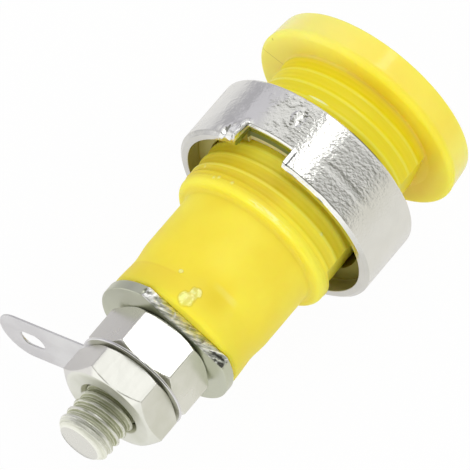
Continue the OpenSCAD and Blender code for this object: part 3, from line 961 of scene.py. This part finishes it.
# Painted light and shade that the floor shows in reflections: greyer near the socket, darker towards +X with
# a painted shadow at the left rear, olive towards -X and white beyond the terminal end.
mirrored = paper.x.ease(14 * mm, 56 * mm).blend((0.84, 0.83, 0.82), (0.31, 0.30, 0.34))
left_rear_shade = paper.x.ease(13 * mm, 22 * mm) * paper.y.ease(2 * mm, 11 * mm)
mirrored = left_rear_shade.blend(mirrored, (0.46, 0.45, 0.45))
mirrored = paper.x.ease(-7 * mm, -20 * mm).blend(mirrored, (0.79, 0.775, 0.70))
mirrored = paper.y.ease(24 * mm, 33 * mm).blend(mirrored, (1.0, 1.0, 0.96))
glow = paper.points.node("ShaderNodeEmission", None,
                         {"Color": to_camera.blend(mirrored, (1.0, 1.0, 1.0)), "Strength": 1.0})
shown = paper.points.node("ShaderNodeMixShader", None,
                          {0: seen, 1: Wire(paper.tree, paper.shader.outputs[0]), 2: glow})
paper.tree.links.new(shown.socket, paper.tree.nodes["Material Output"].inputs["Surface"])
paper.dress(floor)

camera_way = Vector((0.0, 0.372, 0.928))
camera_dark = (math.cos(math.radians(24)), math.cos(math.radians(14)))
panel_aside = 0.073
world = bpy.data.worlds.new("surround")
bpy.context.scene.world = world
world.use_nodes = True
sky = world.node_tree
backdrop = sky.nodes["Background"]
ray_way = Wire(sky, sky.nodes.new("ShaderNodeTexCoord").outputs["Generated"])
split = sky.nodes.new("ShaderNodeSeparateXYZ")
sky.links.new(ray_way.socket, split.inputs[0])
aside, along, height = [Wire(sky, out) for out in split.outputs]
walls = aside.ease(-0.75, 0.75).blend((0.77, 0.755, 0.685), (0.66, 0.65, 0.69))
walls = along.ease(0.2, 0.8).blend(walls, (1.10, 1.10, 1.06))
ceiling = (along - aside * 0.05).ease(-0.47, -0.25).blend((0.92, 0.92, 0.90), (0.20, 0.20, 0.17))
strip = abs(aside - panel_aside).ease(0.18, 0.06) * along.ease(-0.05, -0.30)
ceiling = strip.blend(ceiling, (1.0, 1.0, 0.96))
dome = height.ease(0.27, 0.47).blend(walls, ceiling)
facing_camera = ray_way.node("ShaderNodeVectorMath", {"operation": "DOT_PRODUCT"},
                             {0: ray_way, 1: camera_way}, output="Value")
dome = facing_camera.ease(*camera_dark).blend(dome, (0.09, 0.09, 0.045))
sky_path = sky.nodes.new("ShaderNodeLightPath")
mirrors = dome.maths("MAXIMUM", Wire(sky, sky_path.outputs["Is Glossy Ray"]),
                     Wire(sky, sky_path.outputs["Is Transmission Ray"]))
dome = mirrors.blend((0.92, 0.92, 0.92), dome)
dome = Wire(sky, sky_path.outputs["Is Camera Ray"]).blend(dome, (1.0, 1.0, 1.0))
sky.links.new(dome.socket, backdrop.inputs["Color"])
backdrop.inputs["Strength"].default_value = 1.0


def panel(name, way, far, width, length, power):
    """A soft rectangular light that faces the socket from a distance in metres."""
    data = bpy.data.lights.new(name, "AREA")
    data.shape = "RECTANGLE"
    data.size = width
    data.size_y = length
    data.energy = power
    lamp = bpy.data.objects.new(name, data)
    lamp.location = Vector(way).normalized() * far
    lamp.rotation_euler = Vector(way).to_track_quat("Z", "Y").to_euler()
    bpy.context.collection.objects.link(lamp)
    return lamp


panel("key", (panel_aside, -0.372, 0.925), far=0.30, width=0.044, length=0.30, power=0.095)
rear_fill = panel("rear_fill", (0.05, 1.0, 0.15), far=0.50, width=0.40, length=0.40, power=0.9)
rear_fill.visible_glossy = False

roll = math.radians(49.52)
tilt = math.radians(21.86)
facing = math.radians(96.5)
camera_far = 400.0
pixels_per_mm = 15.011
picture = 470.0
seat_pixel = (354.5, 120.0)
axis_way = Vector((0.0, -1.0, 0.0))
facing_way = Vector((math.cos(facing), 0.0, math.sin(facing)))
side_way = axis_way.cross(facing_way)
to_right = (axis_way * math.cos(tilt) * math.cos(roll) + side_way * math.sin(roll)
            + facing_way * math.sin(tilt) * math.cos(roll))
to_front = axis_way * math.sin(tilt) - facing_way * math.cos(tilt)
to_down = to_front.cross(to_right)
seat_right = (seat_pixel[0] - picture / 2) / pixels_per_mm
seat_down = (seat_pixel[1] - picture / 2) / pixels_per_mm
eye = -(to_right * seat_right + to_down * seat_down + to_front * camera_far) * mm
camera_data = bpy.data.cameras.new("camera")
camera_data.sensor_width = 36.0
camera_data.sensor_height = 36.0
camera_data.lens = camera_far * pixels_per_mm / picture * camera_data.sensor_width
camera_data.clip_start = 0.01
camera_data.clip_end = 10.0
camera = bpy.data.objects.new("camera", camera_data)
camera.matrix_world = Matrix((
    (to_right.x, -to_down.x, -to_front.x, eye.x),
    (to_right.y, -to_down.y, -to_front.y, eye.y),
    (to_right.z, -to_down.z, -to_front.z, eye.z),
    (0.0, 0.0, 0.0, 1.0)))
bpy.context.collection.objects.link(camera)
bpy.context.scene.camera = camera
bpy.context.scene.view_settings.view_transform = "Standard"
